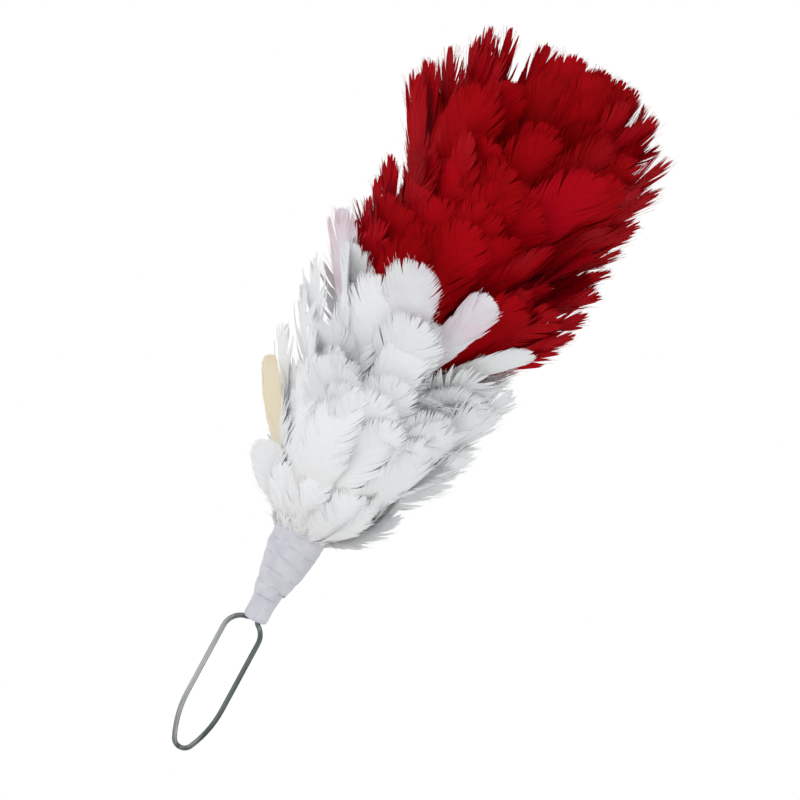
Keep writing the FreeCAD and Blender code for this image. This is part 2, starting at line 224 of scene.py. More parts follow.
def add_vane(tubes, feather, shaft, half_width, style, rng, tone):
    """The barbs of both sides. They leave the rachis at an angle, bend towards the tip and clump."""
    count, stations = style["barbs"], 5
    base = style["vane_from"] * shaft
    for hand in (-1, 1):
        share = (np.arange(count) + 0.5) / count
        start = base + (shaft - base) * share ** 1.1
        edge_along, edge_across = vane_edge(share, base, feather.length, half_width, style["base_width"])
        labels, clumps = clump_labels(count, rng, style["clump"])
        centre_of = [np.arange(count)[labels == k].mean() for k in range(clumps)]
        size = np.bincount(labels)[labels]
        off_centre = np.abs(np.arange(count) - np.array(centre_of)[labels]) / np.maximum(size / 2, 1)
        length = 1 + rng.normal(0, style["ragged"], clumps)[labels] - style["point"] * off_centre ** 1.5
        length = length + rng.normal(0, style["fringe"], count)
        chord_along, chord_across = (edge_along - start) * length, edge_across * length
        swing = rng.normal(0, style["splay"], clumps)[labels] + rng.normal(0, 0.012, count)
        chord_along, chord_across = (chord_along * np.cos(swing) - chord_across * np.sin(swing),
                                     chord_along * np.sin(swing) + chord_across * np.cos(swing))
        rise = rng.normal(0, style["fluff"], clumps)[labels] + rng.normal(0, 0.05 * MM, count)

        step = np.linspace(0, 1, stations)
        bend = 0.26 * (1 - step)[None, :]
        along, across = bent_barbs(start, chord_along, chord_across, step, bend)
        tip_along = np.array([along[labels == k, -1].mean() for k in range(clumps)])[labels]
        tip_across = np.array([across[labels == k, -1].mean() for k in range(clumps)])[labels]
        pull = style["gather"] * smooth((step - style["parted_from"]) / (1 - style["parted_from"]))[None, :]
        along = along + (tip_along - along[:, -1])[:, None] * pull
        across = across + (tip_across - across[:, -1])[:, None] * pull
        lift = rise[:, None] * smooth(step)[None, :] ** 1.5

        centre, _, face = feather.place(along, hand * across, lift)
        width = style["barb_width"] * np.interp(step, [0, 0.6, 0.85, 1], [1.0, 1.0, 0.65, 0.12])
        width = np.broadcast_to(width, along.shape)
        section = strand_sections(centre, face, width, 0.13 * width)
        shade = tone + style["motley"] * rng.normal(0, 1, clumps)[labels][:, None] + np.zeros_like(along)
        depth = share[:, None] ** 0.7 * (0.55 + 0.45 * step[None, :])
        tubes.add(section, shade, depth)


def add_wisps(tubes, feather, shaft, half_width, style, rng, tone):
    """Thin single barbs that stand out past the vane's edge and soften it."""
    count, stations = style["wisps"], 4
    base = style["vane_from"] * shaft
    for hand in (-1, 1):
        share = rng.uniform(0.25, 1, count) ** 0.7
        start = base + (shaft - base) * share ** 1.1
        edge_along, edge_across = vane_edge(share, base, feather.length, half_width, style["base_width"])
        length = 1 + rng.uniform(0.01, 0.16, count)
        chord_along, chord_across = (edge_along - start) * length, edge_across * length
        bend = rng.normal(0.1, 0.16, count)[:, None] * (1 - np.linspace(0, 1, stations))[None, :]
        step = np.linspace(0, 1, stations)[None, :]
        along, across = bent_barbs(start, chord_along, chord_across, step, bend)
        lift = rng.normal(0.2 * MM, 0.5 * MM, count)[:, None] * step ** 2
        centre, _, face = feather.place(along, hand * across, lift)
        width = np.broadcast_to(0.13 * MM * (1 - 0.6 * step), along.shape)
        section = strand_sections(centre, face, width, 0.4 * width)
        tubes.add(section, np.full(along.shape, tone), np.broadcast_to(0.3 + 0.6 * step, along.shape))


def add_down(tubes, feather, shaft, style, rng, tone):
    """Loose curly barbs at the base of the feather."""
    count, stations = style["down"], 5
    for hand in (-1, 1):
        start = rng.uniform(0.02, style["down_to"], count) * shaft
        length = rng.uniform(0.6, 1.2, count) * style["down_length"]
        leave = np.radians(rng.normal(52, 14, count))
        curl = rng.normal(0.3, 0.5, count)
        step = np.linspace(0, 1, stations)
        bend = leave[:, None] - curl[:, None] * step[None, :]
        pace = length[:, None] / (stations - 1)
        along = np.cumsum(np.cos(bend) * pace, axis=1) - np.cos(bend[:, :1]) * pace + start[:, None]
        across = np.cumsum(np.sin(bend) * pace, axis=1) - np.sin(bend[:, :1]) * pace
        wave = rng.normal(0, 0.9 * MM, count)[:, None] * step[None, :] ** 2
        centre, _, face = feather.place(along, hand * across, wave)
        width = np.broadcast_to(0.2 * MM * (1 - 0.75 * step), along.shape)
        section = strand_sections(centre, face, width, 0.5 * width)
        tubes.add(section, np.full(along.shape, tone), np.full(along.shape, 0.2))


CAP_FROM = 0.6
VANE = {
    "barbs": 84, "vane_from": 0.18, "base_width": 0.4, "clump": 9, "splay": 0.025, "ragged": 0.025,
    "point": 0.03, "fringe": 0.03, "fluff": 0.15 * MM, "gather": 0.16, "parted_from": 0.6,
    "barb_width": 0.6 * MM, "motley": 0.03, "down": 14, "down_to": 0.4, "down_length": 7 * MM,
    "wisps": 26,
}
EDGE_VANE = dict(VANE, clump=4, splay=0.05, ragged=0.09, point=0.06, fringe=0.05, gather=0.5, fluff=0.25 * MM)
RED_VANE = dict(VANE, clump=6, splay=0.05, ragged=0.06, point=0.10, fringe=0.04, gather=0.5, fluff=0.3 * MM,
                wisps=16)
RED_FRONT_VANE = dict(RED_VANE, clump=8, splay=0.03, ragged=0.03, point=0.05, gather=0.3, fluff=0.15 * MM)
RED_TIP_VANE = dict(RED_VANE, vane_from=0.5)
RED_LOW_VANE = dict(RED_FRONT_VANE, vane_from=0.05, base_width=0.8)
SKIRT_VANE = dict(VANE, vane_from=0.02, base_width=0.28, clump=4, splay=0.05, ragged=0.09, fringe=0.06,
                  gather=0.5, fluff=0.3 * MM, down=20, down_to=0.7, down_length=6 * MM, wisps=12)
SKIRT_FRONT_VANE = dict(SKIRT_VANE, clump=10, splay=0.02, ragged=0.03, point=0.02, gather=0.2,
                        fluff=0.15 * MM)
FLUFF_VANE = dict(VANE, barbs=26, vane_from=0.02, clump=4, splay=0.08, ragged=0.10, fringe=0.1, gather=0.25,
                  fluff=0.35 * MM, barb_width=0.3 * MM, down=12, down_to=0.9, down_length=3.5 * MM, wisps=0)
SPLIT_VANE = dict(VANE, barbs=56, clump=5, splay=0.10, ragged=0.15, point=0.25, gather=0.94, parted_from=0.1,
                  fluff=0.6 * MM, barb_width=0.5 * MM, wisps=0)
TIP_VANE = dict(VANE, clump=12, gather=0.1, fringe=0.02, ragged=0.02, wisps=8)
SLEEK_VANE = dict(VANE, clump=20, splay=0.01, ragged=0.01, point=0, fringe=0.02, gather=0.1, wisps=6)


def add_feather(tubes, root, tip, height, foot, azimuth, half_width, style, rng, spread,
                wild=1, roll=0, tone=None):
    feather = Feather(root, tip, height, foot, azimuth, spread, wild, roll, rng)
    shaft = feather.length - 0.5 * half_width
    own_tone = np.clip(rng.normal(0, 0.16), -0.4, 0.4)
    tone = own_tone if tone is None else tone
    add_rachis(tubes, feather, shaft, tone)
    add_vane(tubes, feather, shaft, half_width, style, rng, tone)
    add_down(tubes, feather, shaft, style, rng, tone)
    if style["wisps"]:
        add_wisps(tubes, feather, shaft, half_width, style, rng, tone)


def add_fluff(tubes, level, rng, count=26):
    """Small downy feathers that stand over the edge of the tape."""
    for k in range(count):
        azimuth = 2 * math.pi * (k + rng.uniform(-0.4, 0.4)) / count
        tip, height = rng.uniform(6, 9.5) * MM, level + rng.uniform(4.5, 10) * MM
        spread = math.radians(rng.uniform(40, 66))
        add_feather(tubes, 4.8 * MM, tip, height, level - 0.8 * MM, azimuth, rng.uniform(2.4, 3.6) * MM,
                    FLUFF_VANE, rng, spread, tone=rng.normal(0.15, 0.1))


def sideways(height):
    """How far the plume's middle stands off the core at a height."""
    leaning = LEAN * np.maximum(height - NECK_HEIGHT, 0)
    return leaning + TOP_BEND * smooth((height - TOP_BEND_FROM) / TOP_BEND_OVER)


def lean(tubes):
    """Shift everything above the neck sideways in step with its height, and the top a little more."""
    for points in tubes.points:
        points[:, 0] += sideways(points[:, 2])


DOME_HALF = PLUME_HALF + 4 * MM
DOME_RISE = PLUME_HALF
DOME_FROM = PLUME_TOP - 2 * MM - DOME_RISE
DOME_CENTRE = sideways(DOME_FROM + DOME_RISE / 4)
CLEFT_MIDDLE = DOME_CENTRE - 10 * MM
CLEFT_HALF = 7 * MM
CLEFT_FLOOR = PLUME_TOP - 14 * MM


def ceiling(x):
    """The plume's rounded top: how high a feather may reach. A cleft near -X runs down into it."""
    off = min(abs(x - DOME_CENTRE) / DOME_HALF, 1)
    top = DOME_FROM + DOME_RISE * (1 - off ** 3) ** (1 / 3)
    return min(top, CLEFT_FLOOR) if abs(x - CLEFT_MIDDLE) < CLEFT_HALF else top


def front_share(azimuth):
    """1 for feathers that face -Y, 0 for the ones at the sides and the back."""
    return smooth((math.cos(azimuth) - 0.2) / 0.6)


def feather_row(node, count, half_width, styles, material, seed, spreads, outer, lower,
                root=2 * MM, rise=2 * MM, accents=(), dips=(), flare=0, pinch=0, levels=()):
    """Feathers all round the core for one CAD row, in turn a little shorter and longer.

    styles are the vanes of the front and of the rest, spreads is the range of angles at which they
    leave the core, outer scales the row's reach, lower drops their tips below the row's top, root is
    how far from the core they start and rise how far over the row's lowest point. accents are the
    feathers picked out of the row, dips drop the ones near some azimuths further, flare opens the
    row towards +X and closes it towards -X, pinch draws it in at -X, and levels are heights that the
    front tips gather at.
    """
    rng = np.random.default_rng(seed)
    low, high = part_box(node)
    reach = (high[0] - low[0]) / 2 * outer
    foot, top = low[2] + rise, high[2] - lower
    tubes = Tubes()
    for k in range(count):
        azimuth = seed * GOLDEN_TURN + 2 * math.pi * (k + rng.uniform(-0.35, 0.35)) / count
        inner = k % 2
        front = front_share(azimuth)
        tip = reach * (rng.uniform(0.80, 0.93) if inner else rng.uniform(0.93, 1.06))
        height = top - abs(rng.normal(0, 4.5 * MM)) + (2.5 * MM if inner else 0)
        width = half_width * rng.uniform(0.78, 1.15)
        spread = math.radians(rng.uniform(*spreads) + flare * math.sin(azimuth) + 13 * front)
        tip *= 1 + flare * (math.sin(azimuth) / 120 - max(0, -math.cos(azimuth)) / 60)
        tip -= pinch * max(0, -math.sin(azimuth)) ** 2
        if levels:
            nearest = min(levels, key=lambda level: abs(level - height))
            height += 0.45 * front * (nearest - height)
        for middle, half, depth in dips:
            off = (azimuth - math.radians(middle) + math.pi) % (2 * math.pi) - math.pi
            height -= depth * math.exp(-(off / math.radians(half)) ** 2)
        height = min(height, ceiling(tip * math.sin(azimuth) + sideways(height)))
        style = styles[0] if front > rng.uniform(0.2, 0.8) else styles[1]
        own_rng = np.random.default_rng([seed, k])
        wild = 0.85 - 0.4 * front
        add_feather(tubes, root, tip, height, foot, azimuth, width, style, own_rng, spread, wild)
    own_reach = (high[0] - low[0]) / 2
    for k, own in enumerate(accents):
        own_rng = np.random.default_rng([seed, count + k])
        add_feather(tubes, root, own["reach"] * own_reach, high[2] + own["rise"], foot, own["azimuth"],
                    own["half_width"], own["style"], own_rng, own["spread"], ACCENT_WILD, own["roll"],
                    own["tone"])
    if node == "downy_skirt":
        add_fluff(tubes, low[2], rng)
    lean(tubes)
    piece = tubes.to_object(f"feathers_{node}", material)
    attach(piece, "root")
    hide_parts(node)
    return piece


# ---- materials -----------------------------------------------------------------------------------

class Nodes:
    """A small helper for building a Principled material from nodes."""

    def __init__(self, name):
        self.material = bpy.data.materials.new(name)
        self.material.use_nodes = True
        self.tree = self.material.node_tree
        self.shader = self.tree.nodes["Principled BSDF"]

    def new(self, kind, **settings):
        node = self.tree.nodes.new(kind)
        for key, setting in settings.items():
            setattr(node, key, setting)
        return node

    def link(self, source, target):
        self.tree.links.new(source, target)

    def set(self, **values):
        for name, value in values.items():
            self.shader.inputs[name.replace("_", " ")].default_value = value

    def attribute(self, name):
        return self.new("ShaderNodeAttribute", attribute_name=name).outputs["Fac"]

    def noise(self, scale, detail=3.0, stretch=(1, 1, 1)):
        """Noise in object space, in cycles per metre."""
        place = self.new("ShaderNodeTexCoord")
        mapping = self.new("ShaderNodeMapping")
        mapping.inputs["Scale"].default_value = stretch
        noise = self.new("ShaderNodeTexNoise")
        noise.inputs["Scale"].default_value = scale
        noise.inputs["Detail"].default_value = detail
        self.link(place.outputs["Object"], mapping.inputs["Vector"])
        self.link(mapping.outputs["Vector"], noise.inputs["Vector"])
        return noise.outputs["Fac"]

    def ramp(self, fac, stops):
        ramp = self.new("ShaderNodeValToRGB")
        elements = ramp.color_ramp.elements
        while len(elements) < len(stops):
            elements.new(0.5)
        for element, (position, colour) in zip(elements, stops):
            element.position = position
            element.color = (*colour, 1)
        self.link(fac, ramp.inputs["Fac"])
        return ramp.outputs["Color"]

    def maths(self, operation, first, second):
        node = self.new("ShaderNodeMath", operation=operation)
        for socket, value in zip(node.inputs, (first, second)):
            if hasattr(value, "node"):
                self.link(value, socket)
            else:
                socket.default_value = value
        return node.outputs["Value"]

    def scaled(self, value, factor, offset):
        """value times factor, plus offset."""
        result = self.maths("MULTIPLY_ADD", value, factor)
        result.node.inputs[2].default_value = offset
        return result

    def mix(self, fac, first, second):
        node = self.new("ShaderNodeMix", data_type="RGBA")
        for socket, value in ((node.inputs[0], fac), (node.inputs[6], first), (node.inputs[7], second)):
            if hasattr(value, "node"):
                self.link(value, socket)
            else:
                socket.default_value = (*value, 1) if isinstance(value, tuple) else value
        return node.outputs[2]

    def bump(self, height, strength, distance):
        node = self.new("ShaderNodeBump")
        node.inputs["Strength"].default_value = strength
        node.inputs["Distance"].default_value = distance
        self.link(height, node.inputs["Height"])
        self.link(node.outputs["Normal"], self.shader.inputs["Normal"])


def feather_material(name, tones, root, sheen, sheen_weight, roughness, specular):
    """Barbs whose tone differs between feathers and clumps, and is paler or darker at the root, where a root
    colour is mixed in as painted shade.
    """
    m = Nodes(name)
    spread = m.scaled(m.attribute("tone"), 0.5, 0.5)
    broad = m.scaled(m.noise(70, 2.0), 0.5, -0.25)
    fac = m.maths("ADD", spread, broad)
    colour = m.ramp(fac, tones)
    # painted shade at the root: near the feather's base the barbs are mixed towards the root colour, where
    # they lie under the feathers over them
    painted_root_shade = m.ramp(m.attribute("along"), [(0.0, (1, 1, 1)), (0.45, (0, 0, 0))])
    colour = m.mix(painted_root_shade, colour, root)
    m.link(colour, m.shader.inputs["Base Color"])
    rough = m.scaled(m.noise(900, 2.0), 0.2, roughness - 0.1)
    m.link(rough, m.shader.inputs["Roughness"])
    m.set(Sheen_Weight=sheen_weight, Sheen_Roughness=0.4, Sheen_Tint=(*sheen, 1))
    m.set(Specular_IOR_Level=specular)
    return m.material


def white_feather_material():
    tones = [(0.0, (0.82, 0.55, 0.60)), (0.18, (0.86, 0.80, 0.85)), (0.36, (0.93, 0.95, 0.95)),
             (0.65, (0.95, 0.95, 0.96)), (0.85, (0.95, 0.94, 0.90)), (1.0, (0.92, 0.82, 0.62))]
    # the root colour, a warm grey-white, is painted shade at the base of the white feathers
    root = (0.95, 0.91, 0.89)
    return feather_material("white_feather", tones, root, sheen=(1, 1, 1), sheen_weight=0.1,
                            roughness=0.7, specular=0.12)


def red_feather_material():
    tones = [(0.1, (0.23, 0.0, 0.001)), (0.4, (0.36, 0.0, 0.002)), (0.65, (0.46, 0.0, 0.005)),
             (0.95, (0.49, 0.001, 0.018))]
    # the root colour, a dark red, is painted shade at the base of the red feathers
    root = (0.24, 0.0, 0.002)
    return feather_material("red_feather", tones, root, sheen=(1.0, 0.02, 0.15), sheen_weight=0.15,
                            roughness=0.6, specular=0.06)


def wire_material():
    """Galvanised wire, bright along one side of the loop; painted shade darkens the other side, and it is
    darker at its bends too.
    """
    m = Nodes("galvanised_wire")
    streak = m.noise(700, 3.0, (1, 1, 0.06))
    bright = m.ramp(streak, [(0.3, (0.24, 0.26, 0.25)), (0.7, (0.56, 0.58, 0.56))])
    darkened_steel = m.ramp(streak, [(0.3, (0.06, 0.075, 0.07)), (0.7, (0.24, 0.27, 0.26))])
    place = m.new("ShaderNodeTexCoord")
    split = m.new("ShaderNodeSeparateXYZ")
    m.link(place.outputs["Object"], split.inputs["Vector"])
    # painted shade: towards +X the wire is mixed towards its darker colour, on the side of the loop that lies
    # in shade
    across = m.scaled(split.outputs["X"], 110, 0.5)
    high = m.maths("GREATER_THAN", split.outputs["Z"], -0.006)
    past_bend = m.scaled(split.outputs["Z"], 160, 1.0)
    crown = m.maths("MULTIPLY", high, past_bend)
    nose = m.scaled(split.outputs["Z"], -230, -7.2)
    # the painted shade of the +X side, together with the darker bends near the top and at the nose of the
    # loop
    side_shade_and_bend_darkening = m.maths("MAXIMUM", across, m.maths("MAXIMUM", crown, nose))
    patchy = m.scaled(m.noise(160, 2.0), 0.5, -0.25)
    fac = m.ramp(m.maths("ADD", side_shade_and_bend_darkening, patchy), [(0.15, (0, 0, 0)), (0.85, (1, 1, 1))])
    m.link(m.mix(fac, bright, darkened_steel), m.shader.inputs["Base Color"])
    rough = m.ramp(m.noise(500, 3.0), [(0.3, (0.22, 0.22, 0.22)), (0.75, (0.38, 0.38, 0.38))])
    m.link(rough, m.shader.inputs["Roughness"])
    m.set(Metallic=1.0)
    m.bump(streak, 0.2, 0.00004)
    return m.material


def thread_material():
    m = Nodes("waxed_thread")
    turns = m.noise(2500, 2.0, (0.1, 0.1, 1))
    colour = m.ramp(turns, [(0.3, (0.52, 0.48, 0.40)), (0.7, (0.74, 0.70, 0.62))])
    m.link(colour, m.shader.inputs["Base Color"])
    m.set(Roughness=0.55)
    m.bump(turns, 0.6, 0.0001)
    return m.material


def quill_material():
    m = Nodes("quill_butts")
    grain = m.noise(1200, 3.0, (1, 1, 0.06))
    colour = m.ramp(grain, [(0.3, (0.62, 0.56, 0.44)), (0.7, (0.86, 0.83, 0.75))])
    m.link(colour, m.shader.inputs["Base Color"])
    m.set(Roughness=0.45)
    m.bump(grain, 0.8, 0.0002)
    return m.material


def tape_material():
    """Plain-woven cotton tape. The UV map counts threads along and across the tape."""
    m = Nodes("cotton_tape")
    place = m.new("ShaderNodeUVMap", uv_map="threads")
    split = m.new("ShaderNodeSeparateXYZ")
    m.link(place.outputs["UV"], split.inputs["Vector"])
    waves = [m.maths("SINE", m.maths("MULTIPLY", split.outputs[axis], math.pi), 0) for axis in ("X", "Y")]
    weave = m.maths("MULTIPLY", waves[0], waves[1])
    height = m.scaled(weave, 0.5, 0.5)
    patches = m.noise(260, 3.0)
    tones = [(0.25, (0.60, 0.60, 0.65)), (0.6, (0.73, 0.72, 0.78)), (0.85, (0.80, 0.78, 0.82))]
    colour = m.ramp(patches, tones)
    # painted shade: the low parts of the weave, the hollows between the threads, are mixed towards a darker
    # grey
    colour = m.mix(m.ramp(height, [(0.1, (0.25, 0.25, 0.25)), (0.6, (0, 0, 0))]), colour, (0.57, 0.57, 0.63))
    m.link(colour, m.shader.inputs["Base Color"])
    rough = m.scaled(patches, 0.15, 0.75)
    m.link(rough, m.shader.inputs["Roughness"])
    m.set(Sheen_Weight=0.2, Sheen_Roughness=0.5)
    m.bump(height, 0.5, 0.00008)
    return m.material


# ---- stem ----------------------------------------------------------------------------------------

THREAD_PITCH = 0.34 * MM
TAPE_THICKNESS = 0.36 * MM


def grid_object(name, grid, threads, material, closed_around=True):
    """A closed skin over a grid of points: rows along the piece, columns round its section."""
    rows, columns, _ = grid.shape
    mesh = bpy.data.meshes.new(name)
    index = np.arange(rows * columns).reshape(rows, columns)
    around = np.roll(index, -1, axis=1)
    faces = np.stack([index[:-1], around[:-1], around[1:], index[1:]], axis=-1).reshape(-1, 4).tolist()
    if closed_around:
        faces += [index[0, ::-1].tolist(), index[-1].tolist()]
    mesh.from_pydata(grid.reshape(-1, 3).tolist(), [], faces)
    layer = mesh.uv_layers.new(name="threads")
    corner = np.empty(len(mesh.loops), np.int32)
    mesh.loops.foreach_get("vertex_index", corner)
    layer.data.foreach_set("uv", threads.reshape(-1, 2)[corner].astype(np.float32).ravel())
    mesh.polygons.foreach_set("use_smooth", np.ones(len(mesh.polygons), bool))
    mesh.materials.append(material)
    piece = bpy.data.objects.new(name, mesh)
    bpy.context.scene.collection.objects.link(piece)
    return piece


FOOT_RADIUS = 2.9 * MM
FULL_HEIGHT = NECK_HEIGHT - 2.6 * MM


def stem_radius(height):
    """The stem's outer radius: slim at its foot, then it swells and levels off near its top."""
    low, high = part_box("stem_tape")
    full = (high[0] - low[0]) / 2
    return FOOT_RADIUS + (full - FOOT_RADIUS) * np.sin(math.pi / 2 * height / FULL_HEIGHT) ** 2


def wound_tape(material, seed=5):
    """One strip wound up the cone, each turn lapped over the one before, its edges a little uneven."""
    rng = np.random.default_rng(seed)
    low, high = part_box("stem_tape")
    bottom, top = low[2] + 0.2 * MM, high[2]
    turns, per_turn, across = 5.3, 72, 12
    rows = int(turns * per_turn) + 1
    turn = np.linspace(0, turns, rows)
    pitch = (top - bottom) / turns
    width = pitch * 1.55
    angle = -2 * math.pi * turn + 0.6
    phase = rng.uniform(0, 2 * math.pi, 6)
    wobble = sum(np.sin(angle * f + p) for f, p in zip((0.37, 0.81, 1.7, 2.3, 3.9, 5.3), phase)) / 6
    share = np.linspace(0, 1, across)
    start = bottom + pitch * (turn - 0.3) + 0.7 * MM * wobble
    height = np.clip(start[:, None] + width * share[None, :], bottom, top)
    lap = TAPE_THICKNESS * 0.95 * (1 - share)[None, :]
    pucker = np.sin(angle * 7 + phase[0])[:, None] * np.sin(math.pi * share * 2 + phase[1])[None, :]
    slow_wave = np.cos(math.pi * share * 1.3 + phase[3])
    pucker = pucker + np.sin(angle * 3.3 + phase[2])[:, None] * slow_wave[None, :]
    tuck = 0.9 * MM * smooth((height - top + 2.0 * MM) / (2.0 * MM)) ** 2
    inner = stem_radius(height) - 1.45 * TAPE_THICKNESS + lap + 0.11 * MM * pucker - tuck
    outer = inner + TAPE_THICKNESS * np.sin(np.clip(share, 0.04, 0.96) * math.pi)[None, :] ** 0.5

    def ring(radius):
        return np.stack([radius * np.sin(angle)[:, None], -radius * np.cos(angle)[:, None], height], axis=-1)

    grid = np.concatenate([ring(inner), ring(outer)[:, ::-1]], axis=1)
    length = turn * 2 * math.pi * 5 * MM / THREAD_PITCH
    thread = width * share / THREAD_PITCH
    u = np.broadcast_to(length[:, None], (rows, 2 * across))
    v = np.broadcast_to(np.concatenate([thread, thread[::-1]])[None, :], (rows, 2 * across))
    piece = grid_object("wound_tape", grid, np.stack([u, v], axis=-1), material)
    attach(piece, "root")
    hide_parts("stem_tape")
    return piece


def foot_band(material, seed=8):
    """The last turn of tape round the foot of the stem, folded in over the two ends of the wire."""
    rng = np.random.default_rng(seed)
    around = 96
    angle = np.linspace(0, 2 * math.pi, around, endpoint=False)
    closed_end = [(0.9, 0.6), (1.2, -0.35), (1.8, -0.78), (2.4, -0.72), (2.8, -0.35), (2.98, 0.3)]
    outside = [(3.0, 1.2), (3.0, 2.2), (3.04, 3.2), (3.1, 4.2), (3.18, 5.2), (3.24, 6.0), (3.3, 7.2),
               (3.42, 9.0)]
    inside = [(3.1, 9.0), (2.9, 6.6), (2.8, 4.6), (2.6, 2.6), (2.3, 1.0)]
    profile = closed_end + outside + inside   # radius and height in mm
    radius, height = (np.array(column) * MM for column in zip(*profile))
    phase = rng.uniform(0, 2 * math.pi, 6)
    slant = 0.45 * MM * np.sin(angle + phase[0])
    upper = smooth((height - 2.5 * MM) / (3 * MM))
    fold = 0.07 * MM * (np.sin(3 * angle + phase[1]) + 0.6 * np.sin(5 * angle + phase[2]))
    ripple = 0.05 * MM * np.sin(2 * angle[None, :] + phase[3] + height[:, None] / (1.1 * MM))
    r = radius[:, None] + (fold[None, :] + ripple) * smooth(radius / (3 * MM))[:, None]
    z = height[:, None] + slant[None, :] * upper[:, None]
    z = z + 0.12 * MM * np.sin(2 * angle + phase[4])[None, :] * (1 - upper)[:, None]
    grid = np.stack([r * np.sin(angle), -r * np.cos(angle), z], axis=-1)
    grid = np.concatenate([grid, grid[:1]], axis=0)
    u = np.broadcast_to((angle * 3 * MM / THREAD_PITCH)[None, :], grid.shape[:2])
    step = np.hypot(np.diff(radius, prepend=radius[0]), np.diff(height, prepend=height[0]))
    v = np.broadcast_to(np.append(np.cumsum(step), 0)[:, None] / THREAD_PITCH, grid.shape[:2])
    piece = grid_object("foot_band", grid, np.stack([u, v], axis=-1), material, closed_around=False)
    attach(piece, "root")
    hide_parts("end_band")
    return piece


# ---- build ---------------------------------------------------------------------------------------

PER_ROW = 13
HALF_WIDTH = 7.6 * MM
UPPER_SPREADS = (34, 50)   # degrees at which feathers of the higher rows leave the core
FIRST_SEED = 20


def rows_of(colour):
    return sorted(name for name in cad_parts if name.startswith(f"{colour}_row_"))


ACCENT_WILD = 0.15   # a picked-out feather is hardly bent or turned at random


def accent(azimuth, reach, rise, half_width, style, spread=42, roll=0, tone=0.0):
    """A feather picked out of its row. reach is a share of the row's own, rise is over the row's top."""
    return {"azimuth": math.radians(azimuth), "reach": reach, "rise": rise, "half_width": half_width,
            "style": style, "spread": math.radians(spread), "roll": math.radians(roll), "tone": tone}


def white_accents(k, last):
    """Thin spikes along the -X edge, broad tips along +X, and the few that stand out in front."""
    found = []
    if k in (1, 3, 4):
        found.append(accent(-88, 1.16, 1.8 * MM, 2.6 * MM, SPLIT_VANE, 50, -45))
    if k in (0, 2, 3):
        found.append(accent(85, 1.06, 1.5 * MM, 4.5 * MM, EDGE_VANE, 46, 30))
    if k == 0:
        cream = accent(-80, 1.16, -1 * MM, 1.9 * MM, SLEEK_VANE, 50, -65, tone=1.05)
        found.append(cream)
    if k == last:
        round_tip = accent(-13.5, 1.29, 0.4 * MM, 7.2 * MM, TIP_VANE, 40, tone=-0.5)
        small_round_tip = accent(19.5, 1.29, 0.9 * MM, 4.2 * MM, TIP_VANE, 40, 15, tone=-0.7)
        stained = accent(-76, 1.16, 3.4 * MM, 3.3 * MM, VANE, 42, -40, tone=-0.78)
        smooth_tip = accent(52, 1.2, -5.2 * MM, 3.8 * MM, SLEEK_VANE, 40, 10)
        shoulder = accent(-54, 1.09, -2.6 * MM, 5.0 * MM, VANE, 42, -10, tone=0.1)
        found += [round_tip, small_round_tip, stained, smooth_tip, shoulder]
    return found


def red_right_edge(k):
    """They reach less and climb more towards the top."""
    climb = smooth((k - 4) / 3)
    style = RED_TIP_VANE if k < 3 else RED_VANE
    return accent(87, 1.2 - 0.18 * smooth(k / 7), (7.5 * climb - 2) * MM, (4 + 2 * climb) * MM, style, 44, 25)


LEFT_STEP = 4   # the red row, counted from 0, where the -X edge steps out


def red_left_edge(k):
    """The edge stands in below the row of the step, and steps out above it."""
    if k < LEFT_STEP:
        return accent(-84, 0.94, -2.5 * MM, 4 * MM, RED_VANE, 43, -20, tone=0.15)
    above = k - LEFT_STEP - 1
    return accent(-85, 1.14 - 0.03 * above, (6.5 - above) * MM, 6.3 * MM, RED_VANE, 36, -20, tone=0.1)


def red_accents(k, last):
    """The edges, a low feather that fills between the white tips, and the fans of the rounded top."""
    found = []
    if k < last - 2:
        found.append(red_right_edge(k))
    if k < last - 1 and k != LEFT_STEP:
        found.append(red_left_edge(k))
    if k == 0:
        found.append(accent(34, 1.1, -1.3 * MM, 6.0 * MM, RED_LOW_VANE, 44, tone=0.1))
    if k == last - 2:
        found.append(accent(-75, 1.02, 6.5 * MM, 5.0 * MM, RED_VANE, 34, -15))
        found.append(accent(72, 0.84, 6.5 * MM, 6.0 * MM, RED_FRONT_VANE, 40, 15))
    if k == last - 1:
        found.append(accent(-64, 0.95, 2.2 * MM, 4.5 * MM, RED_VANE, 32, -10, tone=0.1))
        found += [accent(azimuth, 0.64, 4 * MM, 5.3 * MM, RED_FRONT_VANE, 33) for azimuth in (16, 36, 56)]
    if k == last:
        found.append(accent(-46, 0.68, -2.5 * MM, 3.8 * MM, RED_VANE, 28, tone=0.1))
    return found


def build_skirt(white):
    side_lobe = accent(-74, 0.97, -1.6 * MM, 4.5 * MM, SLEEK_VANE, 48, -50, tone=0.3)
    feather_row("downy_skirt", 22, 6.0 * MM, (SKIRT_FRONT_VANE, SKIRT_VANE), white, seed=3,
                spreads=(52, 64), outer=0.77, lower=-4 * MM, root=4.4 * MM, rise=0.2 * MM, flare=7,
                accents=[side_lobe])


def build_white_rows(white):
    """Rows that widen upwards. The top three part in front, where the red shows down between them."""
    names = rows_of("white")
    last = len(names) - 1
    tops = [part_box(name)[1][2] for name in names]
    levels = (tops[0] + 3 * MM, tops[last])
    parting = ((39, 22, 23 * MM), (8, 9, 6 * MM), (-31, 8, 5 * MM))
    for k, name in enumerate(names):
        middle = max(1 - abs(k - 3) / 3, 0)
        feather_row(name, PER_ROW, HALF_WIDTH, (VANE, EDGE_VANE), white, seed=FIRST_SEED + k,
                    spreads=(46, 60) if k < 4 else UPPER_SPREADS, outer=min(0.94 + 0.03 * k, 1.02),
                    lower=4.5 * MM * middle, accents=white_accents(k, last),
                    dips=parting if k > 3 else (), pinch=2.5 * MM if 0 < k < last else 0, levels=levels)


